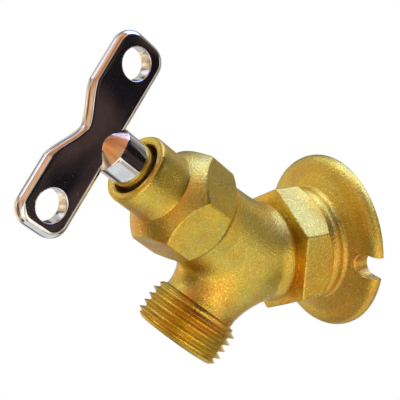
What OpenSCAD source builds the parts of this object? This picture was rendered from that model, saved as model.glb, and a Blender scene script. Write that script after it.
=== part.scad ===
// Wall-flanged brass hose bib with a lock-shield bonnet and a loose tee key.
// Origin: centre of the flange's wall face. +Y points into the wall, +Z is up,
// and the stem and the hose outlet lean forward over -Y in the plane X = 0.

/* [Flange] */
// Diameter of the wall flange
flange_d = 50.8; // [44:0.1:64]
// Thickness of the flange inside its rounded edge
flange_t = 3.6; // [2.6:0.1:6]
// Straight height of the rim at the wall
rim_t = 1.8; // [0.6:0.1:2.4]
// Radial width of the rounded edge
edge_w = 3.4; // [1:0.1:4]
// How much the flange thickens from its edge to the boss
flange_rise = 1.8; // [0.4:0.1:3]
// Width of the two screw notches
notch_w = 6.2; // [4.6:0.1:8]
// Height of the notches above the inlet axis
notch_up = 0.3; // [0:0.1:1]
// Distance from the inlet axis to the inner end of a notch
notch_end = 18.6; // [17.8:0.1:20]
// Diameter of the boss between flange and hex
boss_d = 32.4; // [29:0.1:33]

/* [Inlet] */
// Bore of the 3/4 inch female pipe thread
inlet_d = 24.1; // [20:0.1:26]
// Depth of the threaded bore
inlet_depth = 14; // [11:0.1:15]
// Inlet hex across its flats
hex_af = 32; // [30:0.1:42]
// Distance from the wall to the back of the hex
hex_back = 9.8; // [8:0.1:12]
// Length of the hex along the inlet
hex_len = 10; // [6:0.1:11]
// Diameter of the waterway under the seat
way_d = 12; // [9:0.1:12.5]

/* [Valve body] */
// Distance from the wall to where stem and outlet axes cross
valve_out = 31.3; // [30.5:0.1:42]
// Height of that crossing above the inlet axis
valve_up = 2.1; // [1:0.1:3]
// Angle of the stem above the horizontal
stem_tilt = 40; // [38:1:44]
// Diameter of the valve chamber
chamber_d = 19; // [18.4:0.1:22.8]
// Thickness of the casting around the chamber
body_wall = 4.5; // [3.5:0.1:6]
// Diameter of the bonnet's joining thread
bonnet_thread_d = 20.8; // [19:0.1:22]
// Thickness of the neck around that thread
neck_wall = 2.4; // [2:0.1:4]
// Distance from the crossing to the neck's end face
neck_reach = 13.4; // [12:0.1:18]

/* [Outlet] */
// Outer diameter of the 3/4 inch hose thread
hose_d = 26.6; // [24:0.1:30]
// Depth of the hose thread
hose_thread_h = 1.4; // [1:0.1:1.6]
// Pitch of the hose thread
hose_pitch = 2.209; // [1.8:0.001:2.4]
// Number of full hose thread turns
hose_turns = 5; // [3:1:5]
// Distance from the crossing to the end of the outlet
outlet_reach = 30.5; // [30:0.1:40]
// Bore of the outlet
outlet_bore = 17.4; // [14:0.1:18]
// Diameter of the relief neck behind the hose thread
relief_d = 21.5; // [21:0.1:22.5]
// Diameter of the passage from the chamber to the outlet bore
passage_d = 11.5; // [9:0.1:11.5]

/* [Seat and washer] */
// Distance from the crossing down the stem axis to the seat
seat_drop = 7.5; // [7:0.1:8.5]
// Diameter of the hole through the seat
seat_d = 11; // [9:0.1:12]
// Width of the raised seat ring
seat_w = 1.7; // [1.2:0.1:2]
// Height of the raised seat ring
seat_h = 1; // [0.6:0.1:1.2]
// Diameter of the rubber seat washer
washer_d = 16; // [14.5:0.1:16.4]
// Thickness of the rubber seat washer
washer_t = 3.2; // [2.6:0.1:4]
// Shank diameter of the washer screw
screw_d = 3.8; // [3:0.1:4.2]

/* [Stem] */
// Travel of the seat washer from shut to fully open
lift = 5.5; // [4:0.1:6]
// Diameter of the plain shank in the packing
shank_d = 9; // [9:0.1:10.8]
// Outer diameter of the lifting thread
stem_thread_d = 10.6; // [10.6:0.1:12]
// Advance of the stem in one turn
stem_lead = 2.54; // [2:0.01:3.2]
// Length of lifting thread inside the bonnet
nut_len = 7; // [6:0.1:9]
// Square end of the stem across its flats
square_w = 6.35; // [5:0.01:6.4]
// Length of the square end
square_len = 5.4; // [4:0.1:8]

/* [Packing] */
// Diameter of the stuffing box
box_d = 13.6; // [12.4:0.1:14]
// Thickness of one packing ring
packing_t = 2.8; // [2:0.1:3.2]
// Thickness of the washer under the packing
packing_washer_t = 0.8; // [0.5:0.1:1.2]
// Height of the brass ring that presses the packing
gland_h = 3; // [2:0.1:4]
// Height of the slotted packing nut
packing_nut_h = 3.6; // [3:0.1:5]

/* [Bonnet] */
// Bonnet hex across its flats
bonnet_af = 26.4; // [24:0.1:32]
// Turn of the bonnet hex about the stem
bonnet_turn = 13.7; // [0:0.1:60]
// Length of the round collar behind the hex
collar_len = 3.2; // [2:0.1:5]
// Length of the hex with its two chamfers
bonnet_hex_len = 15.7; // [14:0.1:20]
// Outer diameter of the shield around the square
shield_d = 19.1; // [18:0.1:22]
// Bore of the shield
shield_bore = 14.3; // [14.2:0.1:15.4]
// Length of the shield beyond the hex
shield_len = 10.4; // [8:0.1:14]
// Thickness of the fibre gasket under the bonnet
gasket_t = 0.8; // [0.5:0.1:1.5]

/* [Tee key] */
// Turn of the key's wings about the stem
key_turn = 100.8; // [0:0.1:180]
// Length of the key across its wings
key_len = 54.8; // [50:0.1:70]
// Height of the wings along the stem
key_h = 15; // [14:0.1:20]
// Thickness of the wings
key_t = 4.2; // [3:0.1:6]
// Radius of the wing corners
key_corner = 5; // [2:0.1:7]
// Depth of the dip in the middle of the top edge
dip_h = 4.6; // [2:0.1:7]
// Length of the dip along the top edge
dip_w = 21; // [14:0.1:26]
// Diameter of the hole in each wing
wing_hole_d = 8.2; // [5:0.1:9]
// Distance between the two wing holes
wing_hole_pitch = 40.6; // [34:0.1:42]
// Diameter of the key's barrel
barrel_d = 12.2; // [11.2:0.1:12.6]
// Length of the barrel below the wings
barrel_len = 14.4; // [12:0.1:20]
// Depth of the square socket
socket_depth = 10; // [8.2:0.1:11]

/* [Clearances] */
// Radial clearance of a turning or sliding fit
run_fit = 0.05; // [0.02:0.01:0.09]
// Radial clearance between pieces that are screwed or pressed together
still_fit = 0.05; // [0.02:0.01:0.1]
// Gap between the shut washer and the seat
shut_gap = 0.1; // [0.05:0.01:0.2]
// Clearance between the key's socket and the stem's square, each side
key_fit = 0.07; // [0.05:0.01:0.15]

/* [Hidden] */
$fn = 96;

brass_rough = "#b8963c";
brass_turned = "#c9a54a";
chrome = "#8f9094";
graphite = "#3a3a3c";
fibre = "#7a2a22";
rubber = "#1c1c1c";

past = 1;                       // how far a cut runs past the surface it opens
slack = 0.7;                    // spare travel left at the fully open stop
flange_r = flange_d / 2;
boss_r = boss_d / 2;
root_r = 1.2;                   // fillet between flange and boss
hex_front = hex_back + hex_len;
body_r = chamber_d / 2 + body_wall;
hub_ball_r = body_r - 0.5;      // ball where the inlet, the neck and the outlet meet
neck_bore_r = bonnet_thread_d / 2 + still_fit;
neck_r = neck_bore_r + neck_wall;
hose_r = hose_d / 2;
hose_root_r = hose_r - hose_thread_h;
crest_w = 0.4;                  // width of a hose thread crest
outlet_chamfer = 0.4;
last_crest = outlet_reach - outlet_chamfer - hose_pitch / 2;
first_crest = last_crest - (hose_turns - 1) * hose_pitch;
relief_end = first_crest - hose_pitch / 2;

// Heights along the stem axis, measured from the crossing of the axes, with the valve shut
seat_z = -seat_drop;
floor_z = seat_z - seat_h;
washer_z = seat_z + shut_gap;
plate_z = washer_z + washer_t;      // underside of the disc holder's plate
plate_t = 2;
hub_z = plate_z + plate_t;
hub_len = 7.2;
hub_top = hub_z + hub_len;
spigot_z = hub_z + lift + slack;    // lower end of the bonnet
chamber_top = spigot_z - 0.5;       // the chamber meets the neck's bore here
guide_top = hub_top + lift + slack;
nut_top = guide_top + nut_len;
thread_top = nut_top - 1.7;         // upper end of the stem's thread
thread_len = 10.3;
lift_thread_d = max(stem_thread_d, shank_d + 1.6);      // the shank passes through the nut
relief_top = thread_top + lift + 0.4;
box_z = relief_top + 1;             // floor of the stuffing box
ring_1_z = box_z + packing_washer_t;
ring_2_z = ring_1_z + packing_t;
gland_z = ring_2_z + packing_t;
packing_nut_z = gland_z + gland_h;
shield_bore_z = gland_z + gland_h / 2;
square_z = packing_nut_z + packing_nut_h + 0.8;
square_top = square_z + square_len;
shoulder_z = neck_reach + gasket_t;
collar_r = neck_r - still_fit;
hex_z = shoulder_z + collar_len;
shield_z = hex_z + bonnet_hex_len;
rim_z = shield_z + shield_len;
key_z = square_z + 0.1;             // lower end of the key's barrel
wing_z = key_z + barrel_len;        // lower edge of the wings

// The stem's button and the slot that takes it in the disc holder
button_r = 3.6;
button_h = 2;
button_z = hub_top - 4.2;
stem_neck_r = 2.4;
slot_gap = 0.1;
holder_lip = 0.85;
holder_lip_h = 2.4;
holder_r = washer_d / 2 + still_fit + holder_lip;
hub_r = 6.2;

// The screw's head lies in the seat hole
head_r = 3.4;
head_h = 1.8;
screw_top = plate_z + 2.6;

// The waterway's elbow under the seat
elbow = [-15.5, -3.5];              // its centre in Y and Z

module along_inlet() { rotate([90, 0, 0]) children(); }
module along_stem() {
    translate([0, -valve_out, valve_up]) rotate([90 - stem_tilt, 0, 0]) children();
}
module along_outlet() {
    translate([0, -valve_out, valve_up]) rotate([180 - stem_tilt, 0, 0]) children();
}
module bar(r, from, to) { translate([0, 0, from]) cylinder(r = r, h = to - from); }
module ring(r, hole_r, from, to) {
    difference() {
        bar(r, from, to);
        bar(hole_r, from - past, to + past);
    }
}

// A round bar that carries thread ridges: one ridge per pitch, each with a flat crest
module ridged_bar(crest_r, core_r, land, flank, pitch, count, first, from, to) {
    ridges = [for (k = [0 : count - 1]) let (z = first + k * pitch) each [
        [core_r, z - land / 2 - flank], [crest_r, z - land / 2],
        [crest_r, z + land / 2], [core_r, z + land / 2 + flank]]];
    rotate_extrude() polygon(concat([[0, from], [core_r, from]], ridges, [[core_r, to], [0, to]]));
}

// Flange and boss: outline of radius against distance from the wall
module flange() {
    edge = [for (a = [0 : 15 : 90])
        [flange_r - edge_w * (1 - cos(a)), rim_t + (flange_t - rim_t) * sin(a)]];
    foot = flange_t + flange_rise;
    root = [for (a = [0 : 30 : 90])
        [boss_r + root_r * (1 - sin(a)), foot + root_r * (1 - cos(a))]];
    rotate_extrude() polygon(concat([[0, 0], [flange_r, 0]], edge, root,
        [[boss_r, hex_back + past], [0, hex_back + past]]));
}

// A hex bar with both ends turned: the outline gives radius against height
module turned_hex(af, outline) {
    intersection() {
        translate([0, 0, outline[0][1]])
            cylinder(d = af / cos(30), h = outline[len(outline) - 1][1] - outline[0][1], $fn = 6);
        rotate_extrude() polygon(outline);
    }
}

// The hex is turned down to the boss at its back and sharp at its front
module inlet_hex() {
    corner = hex_af / cos(30) / 2 + 0.1;
    rotate([0, 0, 30]) turned_hex(hex_af, [[0, hex_back], [boss_r, hex_back],
        [corner, hex_back + corner - boss_r], [corner, hex_front], [0, hex_front]]);
}

// The outlet's outside: body, relief neck and hose thread
module outlet_outside() {
    flank = hose_thread_h * tan(30);
    rotate_extrude() polygon([[0, 0], [hub_ball_r - 0.6, 0], [hub_ball_r - 0.8, 6],
        [relief_d / 2 + 1.3, relief_end - 7.6], [relief_d / 2 + 0.4, relief_end - 4],
        [relief_d / 2, relief_end - 2.4], [relief_d / 2, relief_end - 0.5],
        [hose_root_r, relief_end], [0, relief_end]]);
    ridged_bar(hose_r, hose_root_r, crest_w, flank, hose_pitch, hose_turns, first_crest,
        relief_end - 0.01, outlet_reach - outlet_chamfer);
    translate([0, 0, outlet_reach - outlet_chamfer])
        cylinder(r1 = hose_root_r, r2 = hose_root_r - outlet_chamfer / 2, h = outlet_chamfer);
}

module casting_outside() {
    along_inlet() {
        flange();
        inlet_hex();
        bar(body_r, hex_front - past, valve_out);
    }
    along_stem() {
        sphere(r = hub_ball_r);
        rotate_extrude() polygon([[0, 0], [hub_ball_r, 0], [hub_ball_r, neck_reach * 0.4],
            [neck_r + 0.3, neck_reach * 0.75], [neck_r, neck_reach], [0, neck_reach]]);
    }
    along_outlet() outlet_outside();
}

module waterway() {
    along_inlet() bar(inlet_d / 2, -past, inlet_depth);
    translate([0, elbow[0], elbow[1]]) {
        sphere(d = way_d);
        rotate([-90, 0, 0]) cylinder(d = way_d, h = inlet_depth + past + elbow[0] + 2);
    }
    along_stem() {
        bar(seat_d / 2, floor_z - 6.5, seat_z);
        difference() {
            bar(chamber_d / 2, floor_z, chamber_top);
            ring(seat_d / 2 + seat_w, seat_d / 2 - past, floor_z - past, seat_z);
        }
        bar(neck_bore_r, chamber_top - 0.01, max(neck_reach, hub_ball_r) + past);
    }
    along_outlet() {
        translate([0, (spigot_z + seat_z) / 2, 0]) bar(passage_d / 2, 0, relief_end - 4);
        bar(outlet_bore / 2, relief_end - 5, outlet_reach + past);
    }
}

module screw_notches() {
    for (side = [-1, 1]) along_inlet() {
        translate([side * (notch_end + notch_w / 2), notch_up, -past])
            cylinder(d = notch_w, h = hex_back);
        translate([side * (notch_end + notch_w / 2 + flange_r / 2), notch_up, hex_back / 2 - past])
            cube([flange_r, notch_w, hex_back], center = true);
    }
}

module body() {
    color(brass_rough) difference() {
        casting_outside();
        waterway();
        screw_notches();
    }
}

module bonnet() {
    corner = bonnet_af / cos(30) / 2 + 0.05;
    rise = corner - collar_r;
    thread_core = bonnet_thread_d / 2 - 0.8;
    threads = floor((neck_reach - spigot_z - 1) / 1.5);
    color(brass_rough) along_stem() difference() {
        union() {
            ridged_bar(bonnet_thread_d / 2, thread_core, 0.3, 0.45, 1.5, threads,
                spigot_z + 1.2, spigot_z, shoulder_z + past);
            bar(collar_r, shoulder_z, hex_z + past);
            rotate([0, 0, bonnet_turn]) turned_hex(bonnet_af, [[0, hex_z], [collar_r, hex_z],
                [corner, hex_z + rise * 0.8], [corner, shield_z - (corner - shield_d / 2) * 0.8],
                [corner - 2.2, shield_z - (corner - shield_d / 2) * 0.8 + 1.9],
                [shield_d / 2 + 0.4, shield_z], [0, shield_z]]);
            rotate_extrude() polygon([[0, shield_z - past], [shield_d / 2 + 0.4, shield_z - past],
                [shield_d / 2 + 0.3, shield_z], [shield_d / 2, shield_z + 1.5],
                [shield_d / 2, rim_z - 0.8], [shield_d / 2 - 0.25, rim_z - 0.25],
                [shield_d / 2 - 0.8, rim_z], [0, rim_z]]);
        }
        bar(hub_r + 0.5, spigot_z - past, guide_top);
        bar(lift_thread_d / 2 + run_fit, guide_top - past, nut_top);
        bar(lift_thread_d / 2 + 0.3, nut_top - 0.01, relief_top);
        bar(shank_d / 2 + run_fit, relief_top - past, rim_z);
        bar(box_d / 2, box_z, rim_z);
        bar(shield_bore / 2, shield_bore_z, rim_z + past);
        translate([0, 0, rim_z - 0.6])
            cylinder(r1 = shield_bore / 2 - 0.01, r2 = shield_bore / 2 + 0.6, h = 0.61);
    }
}

module bonnet_gasket() {
    color(fibre) along_stem()
        ring(collar_r, bonnet_thread_d / 2 + still_fit, neck_reach, shoulder_z);
}

module stem() {
    core = lift_thread_d / 2 - 1.2;
    thread_z = thread_top - thread_len;
    threads = floor(thread_len / stem_lead);
    color(brass_turned) along_stem() {
        bar(button_r, button_z, button_z + button_h);
        bar(stem_neck_r, button_z, thread_z + past);
        ridged_bar(lift_thread_d / 2, core, stem_lead * 0.37, 0.3, stem_lead, threads,
            thread_z + stem_lead / 2, thread_z, thread_top);
        bar(shank_d / 2, thread_top - 0.01, square_z);
        intersection() {
            translate([0, 0, square_z + square_len / 2 - past])
                cube([square_w, square_w, square_len + 2 * past], center = true);
            rotate_extrude() polygon([[0, 0], [shank_d / 2 - 0.1, 0],
                [shank_d / 2 - 0.1, square_top - 0.9], [square_w / 2, square_top], [0, square_top]]);
        }
    }
}

module packing_piece(tint, z, h) {
    color(tint) along_stem() ring(box_d / 2 - still_fit, shank_d / 2 + run_fit, z, z + h);
}
module packing_washer() { packing_piece(brass_turned, box_z, packing_washer_t); }
module packing_ring_lower() { packing_piece(graphite, ring_1_z, packing_t); }
module packing_ring_upper() { packing_piece(graphite, ring_2_z, packing_t); }
module packing_gland() { packing_piece(brass_turned, gland_z, gland_h); }

module packing_nut() {
    slot_w = 1.8;
    crest_r = shield_bore / 2 - still_fit;
    top = packing_nut_z + packing_nut_h;
    color(brass_turned) along_stem() difference() {
        ridged_bar(crest_r, crest_r - 0.5, 0.3, 0.25, 1.2, 2, packing_nut_z + 1,
            packing_nut_z, top);
        bar(shank_d / 2 + run_fit, packing_nut_z - past, top + past);
        translate([0, 0, top]) cube([shield_bore, slot_w, 2.4], center = true);
    }
}

module disc_holder() {
    color(brass_turned) along_stem() difference() {
        union() {
            bar(holder_r, plate_z - holder_lip_h, hub_z);
            bar(hub_r, hub_z - past, hub_top);
        }
        bar(washer_d / 2 + still_fit, plate_z - holder_lip_h - past, plate_z);
        bar(screw_d / 2 + still_fit, plate_z - past, screw_top + 0.2);
        // side-entry slot that takes the stem's button and neck
        bar(button_r + slot_gap, button_z - slot_gap, button_z + button_h + slot_gap);
        translate([0, -button_r - slot_gap, button_z - slot_gap])
            cube([hub_r + past, 2 * (button_r + slot_gap), button_h + 2 * slot_gap]);
        bar(stem_neck_r + slot_gap, button_z, hub_top + past);
        translate([0, -stem_neck_r - slot_gap, button_z])
            cube([hub_r + past, 2 * (stem_neck_r + slot_gap), hub_top + past - button_z]);
    }
}

module seat_washer() {
    color(rubber) along_stem() difference() {
        rotate_extrude() polygon([[0, washer_z], [washer_d / 2 - 0.5, washer_z],
            [washer_d / 2, washer_z + 0.5], [washer_d / 2, plate_z], [0, plate_z]]);
        bar(screw_d / 2 + still_fit, washer_z - past, plate_z + past);
    }
}

module washer_screw() {
    color(brass_turned) along_stem() difference() {
        union() {
            rotate_extrude() polygon([[0, washer_z - head_h], [head_r - 1, washer_z - head_h],
                [head_r - 0.2, washer_z - head_h + 0.6], [head_r, washer_z - 0.6],
                [head_r, washer_z], [0, washer_z]]);
            bar(screw_d / 2, washer_z - 0.01, screw_top);
        }
        translate([0, 0, washer_z - head_h]) cube([2 * head_r + past, 0.9, 1.8], center = true);
    }
}

// Face of the key: rounded bar with a dip in its top edge and a hole in each wing
module key_face() {
    end = key_len / 2 - key_corner;
    dip_r = (dip_w * dip_w / 4 + dip_h * dip_h) / (2 * dip_h);
    difference() {
        union() {
            translate([-end, 0]) square([2 * end, key_h]);
            translate([-key_len / 2, key_corner]) square([key_len, key_h - 2 * key_corner]);
            for (x = [-end, end], y = [key_corner, key_h - key_corner])
                translate([x, y]) circle(r = key_corner);
        }
        translate([0, key_h - dip_h + dip_r]) circle(r = dip_r);
        for (side = [-1, 1]) translate([side * wing_hole_pitch / 2, key_h / 2])
            circle(d = wing_hole_d);
    }
}

module tee_key() {
    tip_r = key_t / 2 - 0.6;        // the barrel's coned top ends inside the wings
    cone_h = (barrel_d / 2 - tip_r) * 0.9;
    cone_z = wing_z + 0.4;
    socket = square_w + 2 * key_fit;
    color(chrome) along_stem() difference() {
        union() {
            rotate([0, 0, key_turn]) translate([0, 0, wing_z]) rotate([90, 0, 0])
                linear_extrude(key_t, center = true) key_face();
            rotate_extrude() polygon([[0, key_z], [barrel_d / 2, key_z], [barrel_d / 2, cone_z],
                [tip_r, cone_z + cone_h], [0, cone_z + cone_h]]);
        }
        translate([0, 0, key_z + (socket_depth - past) / 2])
            cube([socket, socket, socket_depth + past], center = true);
    }
}

body();
bonnet();
bonnet_gasket();
stem();
packing_washer();
packing_ring_lower();
packing_ring_upper();
packing_gland();
packing_nut();
disc_holder();
seat_washer();
washer_screw();
tee_key();
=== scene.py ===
import bpy
import bmesh
import numpy as np
from mathutils import Matrix


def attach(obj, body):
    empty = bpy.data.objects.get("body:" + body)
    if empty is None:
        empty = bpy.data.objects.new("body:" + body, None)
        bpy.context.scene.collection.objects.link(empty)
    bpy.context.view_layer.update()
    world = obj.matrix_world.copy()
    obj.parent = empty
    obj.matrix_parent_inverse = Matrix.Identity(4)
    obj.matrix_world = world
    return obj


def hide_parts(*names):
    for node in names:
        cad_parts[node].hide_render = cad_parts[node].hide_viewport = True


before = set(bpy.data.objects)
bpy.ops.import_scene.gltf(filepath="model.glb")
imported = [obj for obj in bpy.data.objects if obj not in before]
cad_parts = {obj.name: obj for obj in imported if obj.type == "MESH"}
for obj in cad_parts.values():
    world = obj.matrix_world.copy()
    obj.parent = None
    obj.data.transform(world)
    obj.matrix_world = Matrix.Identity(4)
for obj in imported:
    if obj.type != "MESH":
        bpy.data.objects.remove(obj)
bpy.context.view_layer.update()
print("frame loaded:", len(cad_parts), "nodes")

mm = 0.001
tau = 2 * np.pi
tilt = np.radians(40.0)                      # how far the stem leans up from level
crossing = np.array([0.0, -31.3, 2.1])       # where the stem and outlet axes meet, mm
castFace, machinedFace = 0, 1                # material slots on the brass pieces
mergeWithin, tinyEdge = 2e-6, 1e-7           # metres, for points that coincide

# an axis frame is an origin in mm and three rows: its X, Y and Z directions
inletFrame = (np.zeros(3), np.array([[1, 0, 0], [0, 0, 1], [0, -1, 0.0]]))
stemFrame = (crossing, np.array([[1, 0, 0], [0, np.sin(tilt), np.cos(tilt)],
                                 [0, -np.cos(tilt), np.sin(tilt)]]))
outletFrame = (crossing, np.array([[1, 0, 0], [0, -np.cos(tilt), np.sin(tilt)],
                                   [0, -np.sin(tilt), -np.cos(tilt)]]))


def placed(points, axisFrame):
    # local x, y, z times the frame's three directions, plus its origin
    return axisFrame[0] + points @ axisFrame[1]


def local(points, axisFrame):
    # the other way: from the shared frame into the axis frame
    return (points - axisFrame[0]) @ axisFrame[1].T


def softMin(a, b, blend):
    # the smaller of two values, rounded off where they are within blend of each other
    near = np.clip(0.5 + 0.5 * (b - a) / blend, 0, 1)
    return b + (a - b) * near - blend * near * (1 - near)


def softStep(value, low, high):
    # 0 below low, 1 above high and 3t^2 - 2t^3 between
    t = np.clip((value - low) / (high - low), 0, 1)
    return t * t * (3 - 2 * t)


def castWave(points, size, seed, count=8):
    # gentle unevenness of a sand mould: the mean of sine waves in random directions
    dice = np.random.default_rng(seed)
    shortening = 1.7                         # about the length of a random normal vector
    ways = dice.normal(size=(count, 3)) * tau / size / shortening
    return np.sin(points @ ways.T + dice.uniform(0, tau, count)).mean(-1)


def hexRadius(angle, halfFlats, corner):
    # polar radius of a hexagon with a flat facing angle 0 and corners of the given radius
    away = np.abs((angle + tau / 12) % (tau / 6) - tau / 12)
    inner = halfFlats - corner
    centre = inner * np.tan(tau / 12)
    along = inner * np.cos(away) + centre * np.sin(away)
    left = np.clip(corner ** 2 - (inner ** 2 + centre ** 2 - along ** 2), 0, None)
    return np.where(halfFlats * np.tan(away) <= centre, halfFlats / np.cos(away),
                    along + np.sqrt(left))


def openRing(grid):
    # quads between rows of points that wrap round, with the end rows left open
    rows, cols = grid.shape[:2]
    index = np.arange(rows * cols).reshape(rows, cols)
    a, b = index[:-1], index[1:]
    quads = np.stack([a, np.roll(a, -1, 1), np.roll(b, -1, 1), b], -1).reshape(-1, 4)
    return grid.reshape(-1, 3), quads.tolist()


def closedSkin(grid):
    # an open ring whose end rows are each closed by a fan to their middle
    points, quads = openRing(grid)
    cols, count = grid.shape[1], len(points)
    first, last = np.arange(cols), np.arange(count - cols, count)
    low, high = np.full(cols, count), np.full(cols, count + 1)
    fans = np.concatenate([np.stack([np.roll(first, -1), first, low], -1),
                           np.stack([last, np.roll(last, -1), high], -1)])
    return np.concatenate([points, grid[[0, -1]].mean(axis=1)]), quads + fans.tolist()


def piece(name, points, faces, slot=castFace):
    # points in mm become a mesh in metres, with doubles merged and normals turned outwards
    mesh = bpy.data.meshes.new(name)
    mesh.from_pydata((np.asarray(points) * mm).tolist(), [], faces)
    work = bmesh.new()
    work.from_mesh(mesh)
    bmesh.ops.remove_doubles(work, verts=work.verts, dist=mergeWithin)
    bmesh.ops.dissolve_degenerate(work, edges=work.edges, dist=tinyEdge)
    bmesh.ops.triangulate(work, faces=work.faces)
    bmesh.ops.recalc_face_normals(work, faces=work.faces)
    for face in work.faces:
        face.material_index = slot
    work.to_mesh(mesh)
    work.free()
    made = bpy.data.objects.new(name, mesh)
    bpy.context.scene.collection.objects.link(made)
    return made


def turnedGrid(profile, axisFrame, cols):
    # a profile of radius and height, turned round the frame's Z
    profile = np.asarray(profile, float)
    angle = np.arange(cols) * tau / cols
    radius, height = profile[:, :1], np.repeat(profile[:, 1:], cols, 1)
    return placed(np.stack([radius * np.cos(angle), radius * np.sin(angle), height], -1), axisFrame)


def turned(name, profile, axisFrame, cols=128, slot=machinedFace):
    return piece(name, *closedSkin(turnedGrid(profile, axisFrame, cols)), slot)


def finer(profile, step):
    # the same outline with points no further apart than step
    profile = np.asarray(profile, float)
    parts = []
    for a, b in zip(profile[:-1], profile[1:]):
        count = max(1, int(np.ceil(np.linalg.norm(b - a) / step)))
        parts.append(a + (b - a) * (np.arange(count) / count)[:, None])
    return np.concatenate(parts + [profile[-1:]])


def combined(target, tools, operation):
    # joins or cuts closed meshes, keeps the finished mesh and throws the tools away
    for tool in tools:
        step = target.modifiers.new(tool.name, "BOOLEAN")
        step.operation, step.solver, step.object = operation, "MANIFOLD", tool
    bpy.context.view_layer.update()
    done = bpy.data.meshes.new_from_object(
        target.evaluated_get(bpy.context.evaluated_depsgraph_get()))
    old = target.data
    target.modifiers.clear()
    target.data = done
    done.name = target.name
    bpy.data.meshes.remove(old)
    for tool in tools:
        bpy.data.objects.remove(tool)
    return target


def finished(target, body, materials, sharpAngle=33):
    # smooth shading with creases, its finishes, and the body it moves with
    mesh = target.data
    mesh.materials.clear()
    for material in materials:
        mesh.materials.append(material)
    mesh.shade_smooth()
    mesh.set_sharp_from_angle(angle=np.radians(sharpAngle))
    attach(target, body)
    print(target.name, "has", sum(len(p.vertices) - 2 for p in mesh.polygons), "triangles")
    return target


class Wire:
    # a node socket that takes part in sums: each operator adds a Math node
    def __init__(self, paint, socket):
        self.paint, self.socket = paint, socket

    def math(self, operation, a, b):
        return self.paint.node("ShaderNodeMath", {"operation": operation}, {0: a, 1: b})

    def __add__(self, other):
        return self.math("ADD", self, other)

    def __radd__(self, other):
        return self.math("ADD", other, self)

    def __sub__(self, other):
        return self.math("SUBTRACT", self, other)

    def __rsub__(self, other):
        return self.math("SUBTRACT", other, self)

    def __mul__(self, other):
        return self.math("MULTIPLY", self, other)

    def __rmul__(self, other):
        return self.math("MULTIPLY", other, self)


class Paint:
    # makes nodes in one material's or world's tree
    def __init__(self, owner):
        owner.use_nodes = True
        self.owner, self.tree = owner, owner.node_tree
        self.tree.nodes.clear()

    def node(self, kind, settings=None, values=None, output=0):
        made = self.tree.nodes.new(kind)
        for key, value in (settings or {}).items():
            setattr(made, key, value)
        for key, value in (values or {}).items():
            if isinstance(value, Wire):
                self.tree.links.new(value.socket, made.inputs[key])
            else:
                made.inputs[key].default_value = value
        return Wire(self, made.outputs[output]) if made.outputs else made

    def place(self):
        return self.node("ShaderNodeTexCoord", output="Object")

    def vector(self, operation, a, b, output="Vector"):
        return self.node("ShaderNodeVectorMath", {"operation": operation}, {0: a, 1: b}, output)

    def noise(self, where, scale, detail=2.0, roughness=0.5):
        return self.node("ShaderNodeTexNoise", {}, {"Vector": where, "Scale": scale,
                         "Detail": detail, "Roughness": roughness}, "Fac")

    def spread(self, value, low, high, start=0.0, end=1.0):
        # moves low..high smoothly onto start..end
        return self.node("ShaderNodeMapRange", {"interpolation_type": "SMOOTHSTEP"},
                         {"Value": value, "From Min": low, "From Max": high,
                          "To Min": start, "To Max": end})

    def mix(self, factor, a, b, blend="MIX"):
        # sockets 0, 6 and 7 are the Mix node's factor and its two colours, output 2 the result
        return self.node("ShaderNodeMix", {"data_type": "RGBA", "blend_type": blend},
                         {0: factor, 6: a, 7: b}, 2)

    def bump(self, height, strength, distance):
        return self.node("ShaderNodeBump", {}, {"Height": height, "Strength": strength,
                                                "Distance": distance})

    def surface(self, **values):
        shader = self.node("ShaderNodeBsdfPrincipled", {}, {
            key.replace("_", " "): value for key, value in values.items()})
        self.node("ShaderNodeOutputMaterial", {}, {"Surface": shader})
        return self.owner

    def glow(self, colour):
        # even light of its own, for the studio's panels
        light = self.node("ShaderNodeEmission", {}, {"Color": colour, "Strength": 1.0})
        self.node("ShaderNodeOutputMaterial", {}, {"Surface": light})
        return self.owner


def newPaint(name):
    return Paint(bpy.data.materials.new(name))


def shade(red, green, blue):
    return (red, green, blue, 1.0)


# noise scales are per metre, depths in metres; a band is the part of a noise that fades in
sandBrass = dict(
    gold=shade(0.82, 0.575, 0.075), olive=shade(0.66, 0.505, 0.09), orange=shade(0.74, 0.36, 0.05),
    pale=shade(0.98, 0.88, 0.46), rough=0.33, roughDrift=(-0.05, 0.06), speckPolish=0.08,
    grain=2300.0, coarse=0.42, pits=0.75,                # coarse and pits as shares of the grain
    relief=(0.8, 0.5, 0.35),                             # of fine grain, coarse grain and pits
    grainDepth=0.00016, grainPull=0.8, patchScale=75.0, patchBand=(0.42, 0.62),
    smearScale=170.0, smearBand=(0.50, 0.72), smearShare=0.42, roughBand=(0.3, 0.7),
    shadeSpotCore=0.35, stainAndShadeBand=(0.3, 0.55), speckBand=(0.56, 0.66), speckShare=0.55,
    darkBand=(0.44, 0.34), darkShare=0.5)


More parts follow.
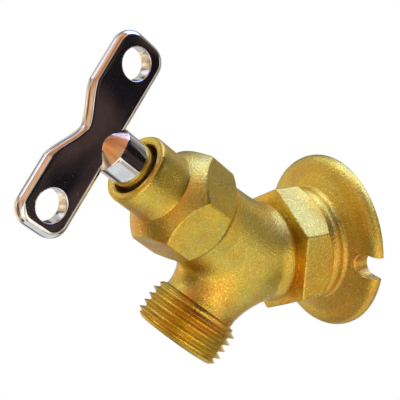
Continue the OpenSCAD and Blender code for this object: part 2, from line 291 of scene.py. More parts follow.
def castBrass(name, look, shadeSpots):
    # sand-cast and tumbled brass: fine grain, pits, tinted patches and bright specks; a shade spot is a
    # middle and a reach in mm, and how strongly it tints: painted shade, an orange-brown tint where the
    # surface lies in shade
    paint = newPaint(name)
    where = paint.place()
    fine = paint.noise(where, look["grain"], 3.0, 0.62)
    coarse = paint.noise(where, look["grain"] * look["coarse"], 2.0, 0.5)
    pits = paint.node("ShaderNodeTexVoronoi", {"feature": "F1"}, {"Vector": where,
                      "Scale": look["grain"] * look["pits"]}, "Distance")
    patch = paint.noise(where, look["patchScale"], 3.0, 0.6)
    smear = paint.noise(where, look["smearScale"], 4.0, 0.6)
    colour = paint.mix(paint.spread(patch, *look["patchBand"]), look["gold"], look["olive"])
    smeared = paint.spread(smear, *look["smearBand"], 0.0, look["smearShare"])
    colour = paint.mix(smeared, colour, look["orange"])
    # painted shade: each spot tints the brass orange-brown round its middle
    for middle, reach, amount in shadeSpots:
        away = paint.vector("DISTANCE", where, tuple(v * mm for v in middle), "Value")
        near = paint.spread(away, reach * mm, reach * look["shadeSpotCore"] * mm)
        stainAndShade = near * paint.spread(smear, *look["stainAndShadeBand"])
        colour = paint.mix(stainAndShade * amount, colour, look["orange"])
    specks = paint.spread(fine, *look["speckBand"])
    colour = paint.mix(specks * look["speckShare"], colour, look["pale"])
    dark = paint.spread(fine, *look["darkBand"])
    colour = paint.mix(dark * look["darkShare"], colour, look["orange"], "MULTIPLY")
    drift = paint.spread(smear, *look["roughBand"], *look["roughDrift"])
    rough = look["rough"] + drift - specks * look["speckPolish"]
    ofFine, ofCoarse, ofPits = look["relief"]
    height = fine * ofFine + coarse * ofCoarse + pits * ofPits
    return paint.surface(Base_Color=colour, Metallic=1.0, Roughness=rough,
                         Normal=paint.bump(height, look["grainPull"], look["grainDepth"]))


# crestBrightening is how far the crests are painted toward bright gold, between the two distances from
# the outlet axis: painted highlight on the crests, painted shade left in the grooves
turnedBrass = dict(gold=shade(0.92, 0.50, 0.15), deep=shade(0.80, 0.21, 0.07), stainAndShade=150.0,
                   stainAndShadeBand=(0.34, 0.54), crestBrightening=0.7, crestFrom=0.0124, crestTo=0.0131, rough=0.25,
                   roughBand=(0.3, 0.7), roughMore=0.12, marks=3200.0, markDepth=0.00004,
                   markPull=0.3)


def machinedBrass(name, look):
    # cut brass: faint tool marks and reddish patches; the hose thread's crests are painted brighter
    # than its grooves, a painted highlight over painted shade
    paint = newPaint(name)
    where = paint.place()
    marks = paint.noise(where, look["marks"], 2.0, 0.5)
    stainAndShade = paint.noise(where, look["stainAndShade"], 3.0, 0.55)
    colour = paint.mix(paint.spread(stainAndShade, *look["stainAndShadeBand"]), look["gold"], look["deep"])
    spoke = paint.vector("SUBTRACT", where, tuple(crossing * mm))
    spoke = paint.vector("CROSS_PRODUCT", spoke, tuple(outletFrame[1][2]))
    fromAxis = paint.node("ShaderNodeVectorMath", {"operation": "LENGTH"}, {0: spoke}, "Value")
    # painted highlight: the thread crests are mixed toward bright gold, which leaves the grooves darker
    # as painted shade
    crest = paint.spread(fromAxis, look["crestFrom"], look["crestTo"], 0.0, look["crestBrightening"])
    colour = paint.mix(crest, colour, look["gold"])
    rough = look["rough"] + paint.spread(stainAndShade, *look["roughBand"], 0.0, look["roughMore"])
    return paint.surface(Base_Color=colour, Metallic=1.0, Roughness=rough,
                         Normal=paint.bump(marks, look["markPull"], look["markDepth"]))


plating = dict(bright=shade(0.86, 0.85, 0.86), dull=shade(0.74, 0.72, 0.72),
               copper=shade(0.78, 0.49, 0.26), rough=0.045, ripple=160.0, rippleDepth=0.0002,
               ripplePull=0.12, haze=420.0, hazeBand=(0.35, 0.7), dimBand=(0.45, 0.75),
               dimMore=0.05, specks=2600.0, speckBand=(0.70, 0.78), speckDim=0.2,
               coneFade=0.0002, plateBand=(0.00225, 0.0025), coneCopper=0.95, coneDim=0.16)


def chromePlate(name, look, plateWay, plateAt, stemWay, coneFrom):
    # bright plate over a polished casting: slight ripple, faint haze and small specks; the cone at the
    # barrel's end is tinted copper and made rougher: that is further along the stem than coneFrom and
    # clear of the wings' plate
    paint = newPaint(name)
    where = paint.place()
    ripple = paint.noise(where, look["ripple"], 1.0, 0.4)
    haze = paint.noise(where, look["haze"], 4.0, 0.6)
    specks = paint.spread(paint.noise(where, look["specks"], 1.0, 0.4), *look["speckBand"])
    colour = paint.mix(paint.spread(haze, *look["hazeBand"]), look["bright"], look["dull"])
    up = paint.vector("DOT_PRODUCT", where, tuple(stemWay), "Value")
    out = paint.vector("DOT_PRODUCT", where, tuple(plateWay), "Value")
    side = paint.node("ShaderNodeMath", {"operation": "ABSOLUTE"}, {0: out - plateAt})
    cone = paint.spread(up, coneFrom, coneFrom + look["coneFade"])
    cone = cone * paint.spread(side, *look["plateBand"])
    colour = paint.mix(cone * look["coneCopper"], colour, look["copper"])
    dim = paint.spread(haze, *look["dimBand"], 0.0, look["dimMore"])
    rough = look["rough"] + dim + specks * look["speckDim"] + cone * look["coneDim"]
    return paint.surface(Base_Color=colour, Metallic=1.0, Roughness=rough,
                         Normal=paint.bump(ripple, look["ripplePull"], look["rippleDepth"]))


stuffLook = dict(toneBand=(0.35, 0.65), roughBand=(0.3, 0.7), roughMore=0.15, depth=0.00006)


def plainStuff(name, base, other, scale, rough, pull, metallic=0.0):
    # fibre, graphite and rubber: two tones mixed by a fine noise, with a matching bump
    paint = newPaint(name)
    look = stuffLook
    grain = paint.noise(paint.place(), scale, 3.0, 0.6)
    colour = paint.mix(paint.spread(grain, *look["toneBand"]), base, other)
    rough = paint.spread(grain, *look["roughBand"], rough, rough + look["roughMore"])
    return paint.surface(Base_Color=colour, Metallic=metallic, Roughness=rough,
                         Normal=paint.bump(grain, pull, look["depth"]))


# painted shade: orange-brown spots where the casting and the bonnet lie in shade, such as the crease
# before the hex and the bonnet's lower side
bodyShadeSpots = [((20, -4, -8), 26, 0.6), ((8, -46, -9), 11, 0.8), ((12, -20, -6), 7, 0.6)]
bonnetShadeSpots = [((4, -61, 13), 12, 0.85)]
bodyCast = castBrass("bodyCastBrass", sandBrass, bodyShadeSpots)
bonnetCast = castBrass("bonnetCastBrass", dict(sandBrass, rough=0.34), bonnetShadeSpots)
machined = machinedBrass("machinedBrass", turnedBrass)
innerBrass = machinedBrass("innerBrass", dict(turnedBrass, gold=shade(0.82, 0.57, 0.19),
                           deep=shade(0.70, 0.40, 0.11), crestBrightening=0.0, rough=0.3))
# painted shade: the bonnet's bore is made near black, for the dark gap inside the shield
shadedBoreBrass = machinedBrass("shadedBoreBrass", dict(turnedBrass, gold=shade(0.16, 0.10, 0.04),
                          deep=shade(0.06, 0.03, 0.015), stainAndShade=260.0, crestBrightening=0.0, rough=0.4))
print("brass finishes made")


# each bar is its places along the axis and its radii there; the search is the distances
# from the crossing between which the casting's skin lies
castingLook = dict(
    rows=150, cols=264, blend=3.0, wave=0.10, waveSize=9.0, waveSeed=3,
    barrel=([-30, -26, -24.2, -22.9, -22.0, -21.2, -20.4, -19.8],
            [13.7, 13.75, 14.15, 14.35, 14.3, 13.9, 13.3, 13.0]), barrelFrom=-30, barrelTo=-15,
    neck=([5.4, 10, 13.4], [13.5, 13.15, 12.85]), neckTo=16,
    outlet=([0, 6, 9, 11.5, 15, 16.7], [12.9, 12.6, 12.2, 11.8, 11.05, 10.7]), outletTo=18.8,
    search=(8.0, 25.0), searchSteps=52, halvings=16)


def roundBar(sideways, across, along, radius):
    # distance from a bar's skin: it starts in a half ball at along = 0 and has no other end
    return np.sqrt(sideways ** 2 + across ** 2 + np.minimum(along, 0) ** 2) - radius


def castingDistance(points):
    # below zero inside: a barrel on the inlet axis, a hub and neck, and the outlet,
    # each a round bar whose radius changes along it, joined with soft fillets
    look = castingLook
    x, y, z = np.moveaxis(points, -1, 0)
    stemX, stemY, up = np.moveaxis(local(points, stemFrame), -1, 0)
    outletX, outletY, down = np.moveaxis(local(points, outletFrame), -1, 0)
    barrel = roundBar(x, z, y - look["barrelFrom"], np.interp(y, *look["barrel"]))
    neck = roundBar(stemX, stemY, up, np.interp(up, *look["neck"]))
    outlet = roundBar(outletX, outletY, down, np.interp(down, *look["outlet"]))
    joined = softMin(softMin(barrel, neck, look["blend"]), outlet, look["blend"])
    return np.maximum.reduce([joined, y - look["barrelTo"], up - look["neckTo"],
                              down - look["outletTo"]])


def castingGrid():
    # from the crossing outwards along each direction to where the distance reaches zero
    look = castingLook
    rise = (np.arange(look["rows"]) + 0.5) * np.pi / look["rows"]
    turn = np.arange(look["cols"]) * tau / look["cols"]
    rise, turn = np.meshgrid(rise, turn, indexing="ij")
    way = np.stack([np.sin(rise) * np.cos(turn), np.sin(rise) * np.sin(turn), np.cos(rise)], -1)
    way = way @ stemFrame[1]
    steps = np.linspace(*look["search"], look["searchSteps"])
    inside = np.stack([castingDistance(crossing + way * r) < 0 for r in steps], -1)
    last = inside.shape[-1] - 1 - np.argmax(inside[..., ::-1], -1)
    low, high = steps[last], steps[np.minimum(last + 1, len(steps) - 1)]
    for _ in range(look["halvings"]):
        middle = (low + high) / 2
        within = castingDistance(crossing + way * middle[..., None]) < 0
        low, high = np.where(within, middle, low), np.where(within, high, middle)
    points = crossing + way * low[..., None]
    swell = look["wave"] * castWave(points, look["waveSize"], look["waveSeed"])
    return points + way * swell[..., None]


# points are radius and height from the wall; a run is first, end and step of the rows
flangeLook = dict(
    wallFace=[[6, 0], [12, 0], [18, 0], [22, 0], [24.9, 0], [25.2, 0.06], [25.36, 0.2], [25.4, 0.45]],
    rimCurve=([25.4, 0.7], [25.4, 2.4], [24.0, 3.1], [20.6, 4.0]), rimPoints=15, rimStep=0.35,
    thick=3.6, coneRise=1.8, boss=16.2, root=1.4, rootFrom=0.25, rootSink=0.05,
    bossTop=[[16.25, 7.0], [16.4, 7.7], [16.42, 8.3], [16.3, 8.9], [16.05, 9.35], [15.8, 9.62],
             [15.75, 9.8]], step=0.3,
    hexBack=9.86, hexRuns=((9.86, 12.6, 0.17), (12.8, 19.3, 0.42)), hexFront=19.8, hexInner=11.0,
    turnedFrom=16.0, turnedTo=20.0, turnedBlend=0.35, halfFlats=16.0, corner=0.9, frontRound=0.45,
    cols=288, wave=0.09, waveSize=11.0, waveSeed=5, waveIn=(0.4, 2.0), waveEnd=19.9, waveOut=1.5,
    leastRadius=8)


def flangeGrid():
    # radius and height rows round the inlet axis: wall face, rim, rounded edge, cone,
    # boss, and a hexagon whose back is turned down to the boss
    look = flangeLook
    cols = look["cols"]
    t = np.linspace(0, 1, look["rimPoints"])[:, None]
    a, b, c, d = np.array(look["rimCurve"])              # a cubic Bezier curve
    edge = (1 - t) ** 3 * a + 3 * t * (1 - t) ** 2 * b + 3 * t * t * (1 - t) * c + t ** 3 * d
    foot = look["thick"] + look["coneRise"]
    bend = np.linspace(look["rootFrom"], tau / 4, 9)
    root = np.stack([look["boss"] + look["root"] * (1 - np.sin(bend)),
                     foot + look["root"] * (1 - np.cos(bend)) - look["rootSink"]], -1)
    cone = finer(np.array([edge[-1], root[0]]), look["step"])[1:]
    plain = np.concatenate([look["wallFace"], finer(edge, look["rimStep"]), cone, root,
                            finer(look["bossTop"], look["step"])])
    angle = np.arange(cols) * tau / cols
    hexagon = hexRadius(angle, look["halfFlats"], look["corner"])
    height = np.concatenate([np.arange(*run) for run in look["hexRuns"]])
    turnedDown = np.minimum(look["turnedFrom"] + (height - look["hexBack"]), look["turnedTo"])
    barRadius = softMin(turnedDown[:, None], hexagon, look["turnedBlend"])
    turn = np.linspace(0.2, tau / 4, 5)[:, None]
    small = look["frontRound"]
    roundRadius = hexagon - small * (1 - np.cos(turn))
    roundHeight = look["hexFront"] - small + small * np.sin(turn)
    inner = np.linspace(0.2, 1, 5)[:, None]
    faceRadius = (hexagon - small) * (1 - inner) + look["hexInner"] * inner
    radius = np.concatenate([np.repeat(plain[:, :1], cols, 1), barRadius, roundRadius, faceRadius])
    rise = np.concatenate([np.repeat(plain[:, 1:], cols, 1), np.repeat(height[:, None], cols, 1),
                           np.repeat(roundHeight, cols, 1), np.full_like(faceRadius, look["hexFront"])])
    points = np.stack([radius * np.cos(angle), radius * np.sin(angle), rise], -1)
    wave = castWave(points, look["waveSize"], look["waveSeed"]) * look["wave"]
    wave = wave * softStep(rise, *look["waveIn"])
    points[..., :2] *= (1 + wave / np.maximum(radius, look["leastRadius"]))[..., None]
    points[..., 2] += wave * softStep(look["waveEnd"] - rise, 0.0, look["waveOut"])
    return placed(points, inletFrame)


# across is the rows of one ridge and the flank its foot and top, all in pitches
threadRidge = dict(across=[-0.5, -0.42, -0.37, -0.27, -0.16, -0.06, -0.02, 0.02, 0.06, 0.16, 0.27,
                           0.37, 0.42], flank=(0.39, 0.025))
# a crest lies at crestAt along the axis where the turn is crestAngle; the ridges fade in
# between two heights, and past the last crest the groove fills up by endFill
hoseThread = dict(crest=13.32, root=11.85, pitch=2.209, crestAngle=126.6, crestAt=28.5, cols=168,
                  turns=8, turnsBefore=6, fadeFrom=19.3, fadeTo=20.5, endFill=0.9,
                  fillAfter=(0.7, 1.5))
pipeThread = dict(crest=12.35, root=11.55, pitch=1.814, crestAngle=0, crestAt=0, cols=120,
                  turns=10, fadeFrom=-90, fadeTo=-80, endFill=0, fillAfter=(0.7, 1.5))


def threadedBar(name, look, start, axisFrame, slot=machinedFace):
    # a ribbon one pitch wide wound round the axis: it climbs one pitch a turn, so its
    # last column joins the first one a pitch further on; each end closes in a fan
    cols, pitch = look["cols"], look["pitch"]
    across = np.array(threadRidge["across"]) * pitch
    foot, top = threadRidge["flank"]
    lift = np.clip((foot * pitch - np.abs(across)) / ((foot - top) * pitch), 0, 1)
    per = len(across)
    turnNumber = np.arange(look["turns"])
    rowHeight = (start + turnNumber[:, None] * pitch + across[None, :]).ravel()
    rowLift = np.tile(lift, look["turns"])
    angle = np.arange(cols) * tau / cols
    shift = (angle - np.radians(look["crestAngle"])) / tau * pitch
    height = rowHeight[:, None] + shift[None, :] + look["crestAt"]
    grow = softStep(height, look["fadeFrom"], look["fadeTo"])
    fillFrom, fillTo = (look["crestAt"] + after for after in look["fillAfter"])
    root = look["root"] + look["endFill"] * softStep(height, fillFrom, fillTo)
    radius = root + np.maximum(look["crest"] - root, 0) * rowLift[:, None] * grow
    points = np.stack([radius * np.cos(angle), radius * np.sin(angle), height], -1)
    rows = len(rowHeight)
    index = np.arange(rows * cols).reshape(rows, cols)
    quads = np.stack([index[:-1, :-1], index[:-1, 1:], index[1:, 1:], index[1:, :-1]], -1)
    seam = np.stack([index[:-1 - per, -1], index[per:-1, 0], index[per + 1:, 0],
                     index[1:-per, -1]], -1)
    lowLoop = np.concatenate([index[0], index[per:0:-1, 0]])
    highLoop = np.concatenate([index[-1], index[-2:-2 - per:-1, -1]])
    low, high = np.full(len(lowLoop), rows * cols), np.full(len(highLoop), rows * cols + 1)
    fans = [np.stack([np.roll(lowLoop, -1), lowLoop, low], -1),
            np.stack([highLoop, np.roll(highLoop, -1), high], -1)]
    ends = [[0, 0, points[0, :, 2].mean()], [0, 0, points[-1, :, 2].mean()]]
    allPoints = placed(np.concatenate([points.reshape(-1, 3), ends]), axisFrame)
    faces = quads.reshape(-1, 4).tolist() + seam.tolist() + fans[0].tolist() + fans[1].tolist()
    return piece(name, allPoints, faces, slot)


# the front face is the flange's height against how far out; wall and clear are the cutter's
# own ends, behind the wall face and ahead of the front
notchLook = dict(width=6.2, up=0.3, end=18.6, flare=0.75, outTo=30, straight=22, past=0.2,
                 front=([17.4, 22, 23.7, 24.9, 25.4], [5.2, 3.6, 3.3, 2.6, 1.8]), wall=-2.0, clear=4.0)


def notchCutter(side):
    # a slot outline pushed through the flange; near the front face it opens out in a
    # quarter round, following the cone's height at each point
    look = notchLook
    half = look["width"] / 2
    middle = look["end"] + half
    bend = np.linspace(tau * 0.75, tau * 0.25, 25)
    edge = np.full(look["straight"], half)
    outline = np.concatenate([
        np.stack([np.linspace(look["outTo"], middle + look["past"], look["straight"]), -edge], -1),
        np.stack([middle + half * np.cos(bend), half * np.sin(bend)], -1),
        np.stack([np.linspace(middle + look["past"], look["outTo"], look["straight"]), edge], -1)])
    ahead = np.roll(outline, -1, 0) - np.roll(outline, 1, 0)
    normal = np.stack([-ahead[:, 1], ahead[:, 0]], -1)
    normal /= np.linalg.norm(normal, axis=1)[:, None]
    normal[[0, -1]] = [[0, -1], [0, 1]]
    front = np.interp(outline[:, 0], *look["front"])
    flare = look["flare"]
    turn = np.linspace(0, tau / 4, 7)
    heights = [np.full(len(outline), look["wall"])]
    heights += [front + step for step in [*(flare * np.sin(turn) - flare), look["clear"]]]
    rows = []
    for height, grow in zip(heights, [0.0, *(flare * (1 - np.cos(turn))), flare]):
        flat = outline + normal * grow
        rows.append(np.stack([side * flat[:, 0], flat[:, 1] + look["up"], height], -1))
    return piece("notchCut", *closedSkin(placed(np.stack(rows), inletFrame)), castFace)


# outlines turned round their axes, as radius and height in mm
bodyOutlines = dict(
    spigot=[[0.5, 13], [10.2, 13], [10.7, 16.4], [10.7, 18.7], [11.0, 19.0], [11.9, 19.3],
            [13.7, 19.7], [13.7, 28.75], [13.35, 29.0], [11.6, 30.4], [11.3, 30.5], [0.5, 30.5]],
    neckFace=[[1, 13.4], [24, 13.4], [24, 24], [1, 24]],
    chamber=[[1, -15], [5.5, -15], [5.5, -7.7], [5.7, -7.5], [7.0, -7.5], [7.2, -7.7], [7.2, -8.5],
             [9.5, -8.5], [9.5, 3.5], [10.45, 3.5], [10.45, 12.9], [10.95, 13.4], [10.95, 15], [1, 15]],
    inletMouth=[[1, -4], [13.2, -4], [13.2, 0.0], [11.9, 1.2], [11.5, 1.3], [11.5, 14], [1, 14]],
    passage=[[1, 0], [5.75, 0], [5.75, 15.2], [1, 15.2]],
    outletBore=[[1, 14.06], [8.5, 14.06], [8.7, 14.3], [8.7, 30.0], [9.3, 30.55], [9.3, 32], [1, 32]])
# the waterway: a bore that ends in a half ball, below the inlet axis, and a passage set back
# from the outlet axis; pipeStart is where the pipe thread's cut begins
waterway = dict(elbowRadius=6, elbowFrom=13, elbowTo=15.5, elbowDrop=3.5, passageBack=1.75,
                pipeStart=-2.5)


def makeBody():
    outlines = bodyOutlines
    casting = piece("hoseBibBody", *closedSkin(castingGrid()))
    flange = piece("flangeAndHex", *closedSkin(flangeGrid()))
    threadStart = -hoseThread["turnsBefore"] * hoseThread["pitch"]
    spigot = threadedBar("hoseSpigot", hoseThread, threadStart, outletFrame)
    limit = turned("spigotLimit", finer(outlines["spigot"], 1.5), outletFrame, 168)
    combined(spigot, [limit], "INTERSECT")
    combined(casting, [flange, spigot], "UNION")
    lowerOutlet = (crossing - waterway["passageBack"] * stemFrame[1][2], outletFrame[1])
    elbow = (np.array([0, 0, -waterway["elbowDrop"]]), inletFrame[1])
    bend, bore = np.linspace(0.2, tau / 4, 12), waterway["elbowRadius"]
    ball = np.stack([bore * np.cos(bend), waterway["elbowTo"] + bore * np.sin(bend)], -1)
    elbowOutline = [[1, waterway["elbowFrom"]], [bore, waterway["elbowFrom"]]] + ball.tolist()
    cuts = [turned("neckFaceCut", outlines["neckFace"], stemFrame, 96),
            turned("chamberCut", finer(outlines["chamber"], 3), stemFrame),
            threadedBar("inletThreadCut", pipeThread, waterway["pipeStart"], inletFrame),
            turned("inletMouthCut", outlines["inletMouth"], inletFrame, 120),
            turned("elbowCut", elbowOutline, elbow, 64),
            turned("passageCut", outlines["passage"], lowerOutlet, 64),
            turned("outletCut", finer(outlines["outletBore"], 2.5), outletFrame),
            notchCutter(1), notchCutter(-1)]
    return combined(casting, cuts, "DIFFERENCE")


body = finished(makeBody(), "casting", [bodyCast, machined])
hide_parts("body")


# radius and height up the stem axis: spigot, collar, the shoulder's dome, then the shield;
# the hexagon limits the radius between hexFrom and hexTo
bonnetLook = dict(
    halfFlats=13.2, corner=1.0, turn=43.7, hexFrom=17.3, hexTo=33, hexBlend=0.3, cols=240,
    wave=0.09, waveSize=9.0, waveSeed=11, waveIn=(14.6, 17.5), leastRadius=6, step=0.3,
    outline=[[4, 4.0], [9.9, 4.0], [10.35, 4.4], [10.35, 13.41], [12.85, 13.41], [12.86, 17.2],
             [12.98, 17.45], [14.2, 18.9], [15.3, 20.2], [15.6, 21.0], [15.6, 27.6], [15.35, 28.45],
             [14.6, 29.25], [13.6, 30.2], [12.4, 31.3], [11.2, 32.3], [10.3, 32.95], [9.85, 33.2],
             [9.72, 33.5], [9.62, 34.4], [9.55, 35.4], [9.55, 42.5], [9.47, 42.95], [9.2, 43.32],
             [8.8, 43.5], [7.3, 43.5], [4, 43.5]],
    bore=[[1, 2], [6.7, 2], [6.7, 11.2], [5.35, 11.2], [5.35, 18.2], [5.6, 18.2], [5.6, 22.4],
          [4.55, 22.4], [4.55, 23.4], [6.8, 23.4], [6.8, 31.3], [7.15, 31.3], [7.15, 42.75],
          [7.3, 43.15], [7.8, 43.55], [7.8, 45], [1, 45]], boreStep=2.5)


def bonnetGrid():
    # the outline turned round the stem axis, with its radius held within the hexagon
    look = bonnetLook
    profile = finer(look["outline"], look["step"])
    outlineRadius, height = profile[:, :1], profile[:, 1:]
    angle = np.arange(look["cols"]) * tau / look["cols"]
    hexagon = hexRadius(angle - np.radians(look["turn"]), look["halfFlats"], look["corner"])
    held = softMin(outlineRadius, hexagon, look["hexBlend"])
    radius = np.where((height > look["hexFrom"]) & (height < look["hexTo"]), held, outlineRadius)
    points = np.stack([radius * np.cos(angle), radius * np.sin(angle),
                       np.repeat(height, look["cols"], 1)], -1)
    wave = castWave(points, look["waveSize"], look["waveSeed"]) * look["wave"]
    wave = wave * softStep(points[..., 2], *look["waveIn"])
    points[..., :2] *= (1 + wave / np.maximum(radius, look["leastRadius"]))[..., None]
    return placed(points, stemFrame)


def makeBonnet():
    shell = piece("bonnetShell", *closedSkin(bonnetGrid()))
    bore = turned("bonnetBoreCut", finer(bonnetLook["bore"], bonnetLook["boreStep"]), stemFrame)
    return combined(shell, [bore], "DIFFERENCE")


bonnet = finished(makeBonnet(), "casting", [bonnetCast, shadedBoreBrass])
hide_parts("bonnet")


# foot and coneAt are along the stem axis from the crossing; the dip's fall is part soft,
# part straight; the socket is half its width, and its mouth flares as (grow, height) pairs
keyLook = dict(
    turn=100.8, length=54.8, height=15.0, thick=4.2, corner=5.0, edge=1.75, crown=0.10, foot=51.7,
    dip=4.6, dipHalf=10.8, dipSoft=0.55, topPoints=121, sideRise=1.2, lineInset=7, innerRows=10,
    holeRadius=4.1, holeOut=20.3, lip=0.45, holeReach=4, coneAt=51.95, sharpAngle=40,
    barrel=[[0.5, 37.3], [5.7, 37.3], [6.0, 37.5], [6.1, 37.8], [6.1, 51.85], [6.05, 52.05],
            [5.9, 52.25], [4.6, 53.75], [3.2, 55.2], [1.5, 56.6], [0.5, 57.2]], barrelStep=0.8,
    socket=6.49 / 2, socketRows=((1.25, 36.5), (1.12, 37.3), (1.0, 37.7), (1.0, 47.3)))
keyTurn = np.radians(keyLook["turn"])
# along the wings, up the stem axis, and out of the plate's face
keyFrame = (placed(np.array([0, 0, keyLook["foot"]]), stemFrame), np.array([
    [np.cos(keyTurn), np.sin(keyTurn), 0], [0, 0, 1],
    [np.sin(keyTurn), -np.cos(keyTurn), 0]]) @ stemFrame[1])
stemWay, plateWay = stemFrame[1][2], keyFrame[1][2]
chrome = chromePlate("chromePlate", plating, plateWay, float(crossing @ plateWay) * mm, stemWay,
                     float(crossing @ stemWay + keyLook["coneAt"]) * mm)
print("chrome made")


def keyPlateGrid():
    # an outline of two mirrored halves, with a smooth dip pressed into the upper one; from
    # each outline point rows run over the rounded edge and in to a line along the middle
    look = keyLook
    half, high, corner = look["length"] / 2, look["height"], look["corner"]
    straight, side = look["topPoints"], high / 2 + look["sideRise"]
    bend = np.linspace(0, tau / 4, 14)[1:]
    sweep = high - corner + corner * np.sin(bend)
    top = np.linspace(half - corner, corner - half, straight)[1:-1]
    upper = np.concatenate([
        [[half, high / 2], [half, side]],
        np.stack([half - corner + corner * np.cos(bend), sweep], -1),
        np.stack([top, np.full(straight - 2, high)], -1),
        np.stack([corner - half - corner * np.cos(bend[::-1]), sweep[::-1]], -1),
        [[-half, side], [-half, high / 2]]])
    lower = np.stack([upper[:, 0], high - upper[:, 1]], -1)
    spread = np.abs(upper[:, 0]) / look["dipHalf"]
    fall = look["dip"] * (1 - softStep(spread, 0.0, 1.0) * look["dipSoft"]
                          - np.clip(spread, 0, 1) * (1 - look["dipSoft"]))
    onTop = upper[:, 1] > high - 0.01
    upper[:, 1] -= np.where(onTop, fall, 0)
    line = np.clip(upper[:, 0], look["lineInset"] - half, half - look["lineInset"])
    middle = np.stack([line, np.interp(line, upper[::-1, 0], upper[::-1, 1]) / 2], -1)
    outline = np.concatenate([upper, lower[-2:0:-1]])
    target = np.concatenate([middle, middle[-2:0:-1]])
    ahead = np.roll(outline, -1, 0) - np.roll(outline, 1, 0)
    inward = np.stack([-ahead[:, 1], ahead[:, 0]], -1)
    inward /= np.linalg.norm(inward, axis=1)[:, None]
    edge, face = look["edge"], look["thick"] / 2
    turn = np.linspace(0, tau / 4, 9)
    depth = edge * (1 - np.cos(turn))
    level = face - edge + edge * np.sin(turn)
    rim = outline + inward * edge
    share = (np.arange(1, look["innerRows"] + 1) / look["innerRows"])[:, None, None]
    inner = rim * (1 - share) + target * share
    innerLevel = face + look["crown"] * (1 - (1 - share[:, 0, 0]) ** 2)
    rows = np.concatenate([outline + inward * depth[:, None, None], inner])
    levels = np.concatenate([level, innerLevel])
    flat = np.concatenate([rows[::-1], rows])
    tall = np.concatenate([-levels[::-1], levels])
    grid = np.concatenate([flat, np.repeat(tall[:, None, None], len(outline), 1)], -1)
    return placed(grid, keyFrame)


def wingHoleCutter(side):
    # a round hole through the plate, opening out in a quarter round at both faces
    look = keyLook
    reach, lip, radius = look["thick"] / 2 + look["crown"], look["lip"], look["holeRadius"]
    bend = np.linspace(0, tau / 4, 8)
    flare = np.stack([radius + lip * (1 - np.cos(bend)), reach - lip + lip * np.sin(bend)], -1)
    halfHole = [[0.5, look["holeReach"]], [radius + lip, look["holeReach"]]] + flare[::-1].tolist()
    profile = np.array(halfHole + [[r, -h] for r, h in halfHole[::-1]])[::-1]
    centre = keyFrame[0] + np.array([side * look["holeOut"], look["height"] / 2, 0]) @ keyFrame[1]
    return turned("wingHoleCut", profile, (centre, keyFrame[1]), 72, castFace)


def socketCutter():
    # a square hole up the barrel, slightly wider at its mouth
    corners = np.array([[1, 1], [-1, 1], [-1, -1], [1, -1]]) * keyLook["socket"]
    grid = np.stack([np.concatenate([corners * grow, np.full((4, 1), height)], -1)
                     for grow, height in keyLook["socketRows"]])
    return piece("socketCut", *closedSkin(placed(grid, stemFrame)))


def makeKey():
    # the plate's end rows each close along a line when doubles are merged, so it needs no fans
    plate = piece("teeKeyChrome", *openRing(keyPlateGrid()))
    barrel = turned("keyBarrel", finer(keyLook["barrel"], keyLook["barrelStep"]), stemFrame, 96,
                    castFace)
    combined(plate, [barrel], "UNION")
    return combined(plate, [wingHoleCutter(-1), wingHoleCutter(1), socketCutter()], "DIFFERENCE")


key = finished(makeKey(), "key", [chrome], keyLook["sharpAngle"])
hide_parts("tee_key")


# the inner pieces keep their CAD shape and get their finishes
graphite = plainStuff("graphitePacking", shade(0.03, 0.03, 0.033), shade(0.09, 0.09, 0.095),
                      scale=1800.0, rough=0.35, pull=0.5, metallic=0.3)
rubber = plainStuff("seatRubber", shade(0.012, 0.012, 0.012), shade(0.03, 0.03, 0.03),
                    scale=1500.0, rough=0.55, pull=0.25)
fibre = plainStuff("fibreGasket", shade(0.30, 0.07, 0.05), shade(0.20, 0.045, 0.03),
                   scale=1400.0, rough=0.6, pull=0.5)
nodeFinish = {
    "stem": innerBrass, "packing_washer": innerBrass, "packing_gland": innerBrass,
    "packing_nut": innerBrass, "disc_holder": innerBrass, "washer_screw": innerBrass,
    "packing_ring_lower": graphite, "packing_ring_upper": graphite,
    "seat_washer": rubber, "bonnet_gasket": fibre}
for nodeName, finish in nodeFinish.items():
    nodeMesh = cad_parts[nodeName].data
    nodeMesh.materials.clear()
    nodeMesh.materials.append(finish)
print("inner pieces finished")


def studioPanel(name, corners, material):
    # a flat sheet on four corners, in metres
    mesh = bpy.data.meshes.new(name)
    mesh.from_pydata(corners, [], [(0, 1, 2, 3)])
    mesh.materials.append(material)
    panel = bpy.data.objects.new(name, mesh)
    bpy.context.scene.collection.objects.link(panel)
    return panel


square = ((-1, -1), (1, -1), (1, 1), (-1, 1))            # the corners of any panel, in halves
floorLook = dict(level=-0.075, half=6)


def makeFloor():
    half, level = floorLook["half"], floorLook["level"]
    corners = [(x * half, y * half, level) for x, y in square]
    floor = studioPanel("studioFloor", corners, newPaint("studioFloorWhite").glow(shade(1, 1, 1)))
    floor.visible_glossy = floor.visible_diffuse = floor.visible_shadow = False


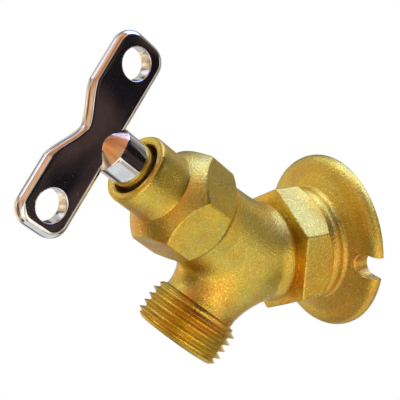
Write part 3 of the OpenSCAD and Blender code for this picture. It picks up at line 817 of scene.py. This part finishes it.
# soft cards round the object: direction, colour, half width and edge in degrees;
# keep is how much of what is behind a card still shows through it
studioCards = [
    dict(way=(0.30, 0.02, -0.95), colour=(0.76, 0.80, 0.81), keep=0.0, wide=27, edge=8),
    dict(way=(-0.05, 0.97, 0.20), colour=(0.12, 0.11, 0.11), keep=0.35, wide=14, edge=12),
    dict(way=(-0.10, 0.38, 0.92), colour=(1.18, 1.60, 3.9), keep=0.5, wide=26, edge=16),
    dict(way=(-0.25, -0.50, 0.83), colour=(1.20, 1.55, 2.9), keep=1.0, wide=18, edge=14),
    dict(way=(-0.80, -0.40, 0.44), colour=(0.75, 0.78, 0.80), keep=0.4, wide=8, edge=4),
    dict(way=(-0.63, 0.66, -0.41), colour=(0.7, 0.7, 0.7), keep=1.0, wide=9, edge=6),
    dict(way=(0.90, 0.40, -0.35), colour=(0.40, 0.38, 0.30), keep=1.0, wide=16, edge=14),
    dict(way=(-0.80, -0.50, -0.30), colour=(0.66, 0.48, 0.27), keep=1.0, wide=20, edge=16),
    dict(way=(-0.27, -0.93, -0.20), colour=(0.10, 0.045, 0.015), keep=0.25, wide=20, edge=14),
    dict(way=(0.95, 0.05, 0.10), colour=(0.40, 0.38, 0.31), keep=1.0, wide=22, edge=18),
    dict(way=(0.30, 0.95, 0.02), colour=(0.75, 0.76, 0.78), keep=1.0, wide=5, edge=4),
    dict(way=(0.80, -0.52, -0.30), colour=(0.95, 0.78, 0.54), keep=1.0, wide=18, edge=14)]
# the room behind the cards drifts between two tones
studioFill = dict(dark=shade(0.10, 0.09, 0.085), light=shade(0.62, 0.59, 0.55), size=2.6,
                  band=(0.42, 0.56))


def makeWorld():
    world = bpy.data.worlds.new("studioWorld")
    bpy.context.scene.world = world
    paint = Paint(world)
    way = paint.node("ShaderNodeTexCoord", output="Generated")
    room = paint.spread(paint.noise(way, studioFill["size"], 1.0, 0.4), *studioFill["band"])
    total = paint.mix(room, studioFill["dark"], studioFill["light"])
    for card in studioCards:
        toward = np.array(card["way"]) / np.linalg.norm(card["way"])
        facing = paint.vector("DOT_PRODUCT", way, tuple(toward), "Value")
        outer, inner = np.cos(np.radians([card["wide"] + card["edge"], card["wide"]]))
        mask = paint.spread(facing, float(outer), float(inner))
        rest = 1 - mask * (1 - card["keep"])
        total = paint.node("ShaderNodeVectorMath", {"operation": "SCALE"}, {0: total, "Scale": rest})
        tinted = paint.node("ShaderNodeVectorMath", {"operation": "SCALE"},
                            {0: card["colour"], "Scale": mask})
        total = paint.vector("ADD", total, tinted)
    lit = paint.node("ShaderNodeBackground", {}, {"Color": total, "Strength": 1.0})
    white = paint.node("ShaderNodeBackground", {}, {"Color": shade(1, 1, 1), "Strength": 1.0})
    seen = paint.node("ShaderNodeLightPath", output="Is Camera Ray")
    both = paint.node("ShaderNodeMixShader", {}, {0: seen, 1: lit, 2: white})
    paint.node("ShaderNodeOutputWorld", {}, {"Surface": both})


# cards close by that only reflections see: middle in mm, what each faces, half its length and
# width, and two tones that drift into each other; their long side lies along cardsAlong
cardsAlong = np.array([-0.187, 0.631, 0.752])
cardDrift = dict(size=32.0, band=(0.4, 0.65))
reflectedCards = dict(
    blackCard=dict(middle=(49.5, -45.9, 66.1), faces=(2.5, -77.5, 48.0), half=(60, 45),
                   tones=((0.010, 0.008, 0.010), (0.060, 0.038, 0.034))),
    copperCard=dict(middle=(6.8, -100.4, 75.2), faces=(0, -75, 38.7), half=(58, 31),
                    tones=((0.90, 0.50, 0.26), (0.42, 0.20, 0.11))))


def makeReflectedCards():
    for name, card in reflectedCards.items():
        middle = np.array(card["middle"], float)
        normal = np.array(card["faces"]) - middle
        normal /= np.linalg.norm(normal)
        long = cardsAlong - normal * (cardsAlong @ normal)
        long /= np.linalg.norm(long)
        long, across = long * card["half"][0], np.cross(normal, long) * card["half"][1]
        corners = [middle + a * long + b * across for a, b in square]
        paint = newPaint(name + "Tone")
        drift = paint.spread(paint.noise(paint.place(), cardDrift["size"]), *cardDrift["band"])
        glow = paint.glow(paint.mix(drift, *(shade(*tone) for tone in card["tones"])))
        made = studioPanel(name, (np.array(corners) * mm).tolist(), glow)
        made.visible_camera = made.visible_diffuse = made.visible_shadow = False
        made.visible_transmission = made.visible_volume_scatter = False


cameraLook = dict(lens=81.0, sensor=36.0, near=0.01, far=50.0, at=(0.19159, -0.16588, 0.09567),
                  right=(0.5214, 0.8522, 0.0441), back=(0.8001, -0.5062, 0.3219))


def makeCamera():
    look = cameraLook
    lens = bpy.data.cameras.new("viewCamera")
    lens.lens, lens.sensor_width = look["lens"], look["sensor"]
    lens.clip_start, lens.clip_end = look["near"], look["far"]
    camera = bpy.data.objects.new("viewCamera", lens)
    bpy.context.scene.collection.objects.link(camera)
    up = np.cross(look["back"], look["right"])
    axes = Matrix([look["right"], up.tolist(), look["back"]]).transposed().to_4x4()
    camera.matrix_world = Matrix.Translation(look["at"]) @ axes
    bpy.context.scene.camera = camera


makeFloor()
makeWorld()
makeReflectedCards()
makeCamera()
bpy.context.scene.view_settings.view_transform = "Standard"
print("studio ready")
